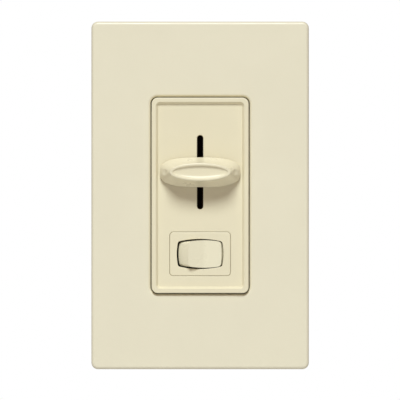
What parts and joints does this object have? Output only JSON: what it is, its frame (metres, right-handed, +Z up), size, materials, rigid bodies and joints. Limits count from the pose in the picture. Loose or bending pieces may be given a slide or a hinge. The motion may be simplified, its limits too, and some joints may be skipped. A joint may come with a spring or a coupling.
{
  "type": "slide dimmer switch",
  "caption": "Wall dimmer with a vertical slide knob above a horizontal rocker switch, behind a rounded screwless wall plate, on a metal strap with a rear case.",
  "frame": {"origin": "centre of the wall plate's rear rim, on the wall surface", "axes": "+Z up along the wall plate's long side, +Y into the wall, +X to the viewer's right"},
  "size_m": [0.0746, 0.0443, 0.119],
  "materials": {
    "screw_steel": "zinc plated",
    "blade_brass": "bright",
    "core_grey": "coated",
    "enamelled_copper": "enamelled",
    "board_laminate": "satin",
    "diac_blue": "satin",
    "face_plastic": "satin",
    "capacitor_yellow": "satin",
    "contact_silver": "bright",
    "ground_green": "green plated",
    "strap_aluminium": "brushed",
    "adapter_plastic": "matte",
    "carriage_black": "matte",
    "pot_steel": "tin plated",
    "tinned_legs": "tin plated",
    "phenolic": "matte",
    "carbon_track": "satin",
    "spring_bronze": "bright",
    "case_black": "matte",
    "resistor_body": "satin",
    "rocker_plastic": "satin",
    "plunger_nylon": "satin",
    "spring_steel": "bright",
    "surround_plastic": "satin",
    "fibre_red": "matte",
    "knob_plastic": "satin",
    "fibre_black": "matte",
    "base_black": "matte",
    "terminal_brass": "bright",
    "capacitor_green": "satin",
    "moulded_black": "matte",
    "mica_grey": "matte",
    "rivet_aluminium": "bright",
    "plate_plastic": "satin"
  },
  "bodies": {
    "housing": {"adapter_screws": "screw_steel", "box_screws": "screw_steel", "case_screws": "screw_steel", "centre_terminal": "blade_brass", "choke_core": "core_grey", "choke_winding": "enamelled_copper", "circuit_board": "board_laminate", "diac": "diac_blue", "face_bezel": "face_plastic", "film_capacitor": "capacitor_yellow", "fixed_contact": "contact_silver", "fixed_terminal": "blade_brass", "ground_screw": "ground_green", "mounting_strap": "strap_aluminium", "plate_adapter": "adapter_plastic", "pot_frame": "pot_steel", "pot_terminals": "tinned_legs", "pot_track_board": "phenolic", "pot_tracks": "carbon_track", "rear_case": "case_black", "resistors": "resistor_body", "rocker_surround": "surround_plastic", "screw_retainers": "fibre_red", "slot_shield": "fibre_black", "switch_base": "base_black", "terminal_clamps": "terminal_brass", "terminal_plates": "terminal_brass", "terminal_screws": "terminal_brass", "timing_capacitors": "capacitor_green", "triac_body": "moulded_black", "triac_insulator": "mica_grey", "triac_rivet": "rivet_aluminium", "triac_tab": "tinned_legs", "wall_plate": "plate_plastic"},
    "slider": {"slider_knob": "knob_plastic", "pot_carriage": "carriage_black", "pot_wiper": "spring_bronze"},
    "rocker": {"rocker_button": "rocker_plastic", "rocker_spring": "spring_steel", "rocker_plunger": "plunger_nylon"},
    "contact_arm": {"contact_blade": "blade_brass", "moving_contact": "contact_silver"}
  },
  "joints": [
    {"name": "slider_travel", "type": "slide", "parent": "housing", "child": "slider", "axis": [0, 0, 1], "range_m": [-0.01, 0.01]},
    {"name": "rocker_tilt", "type": "hinge", "parent": "housing", "child": "rocker", "pos_m": [0, 0, -0.02], "axis": [0, 0, 1], "range_deg": [-20.8, 0]},
    {"name": "contact_tilt", "type": "hinge", "parent": "housing", "child": "contact_arm", "pos_m": [0, 0.0073, -0.02], "axis": [0, 0, 1], "range_deg": [0, 12]}
  ],
  "couplings": [
    {"joint": "contact_tilt", "follows": "rocker_tilt", "ratio": -0.57692}
  ]
}
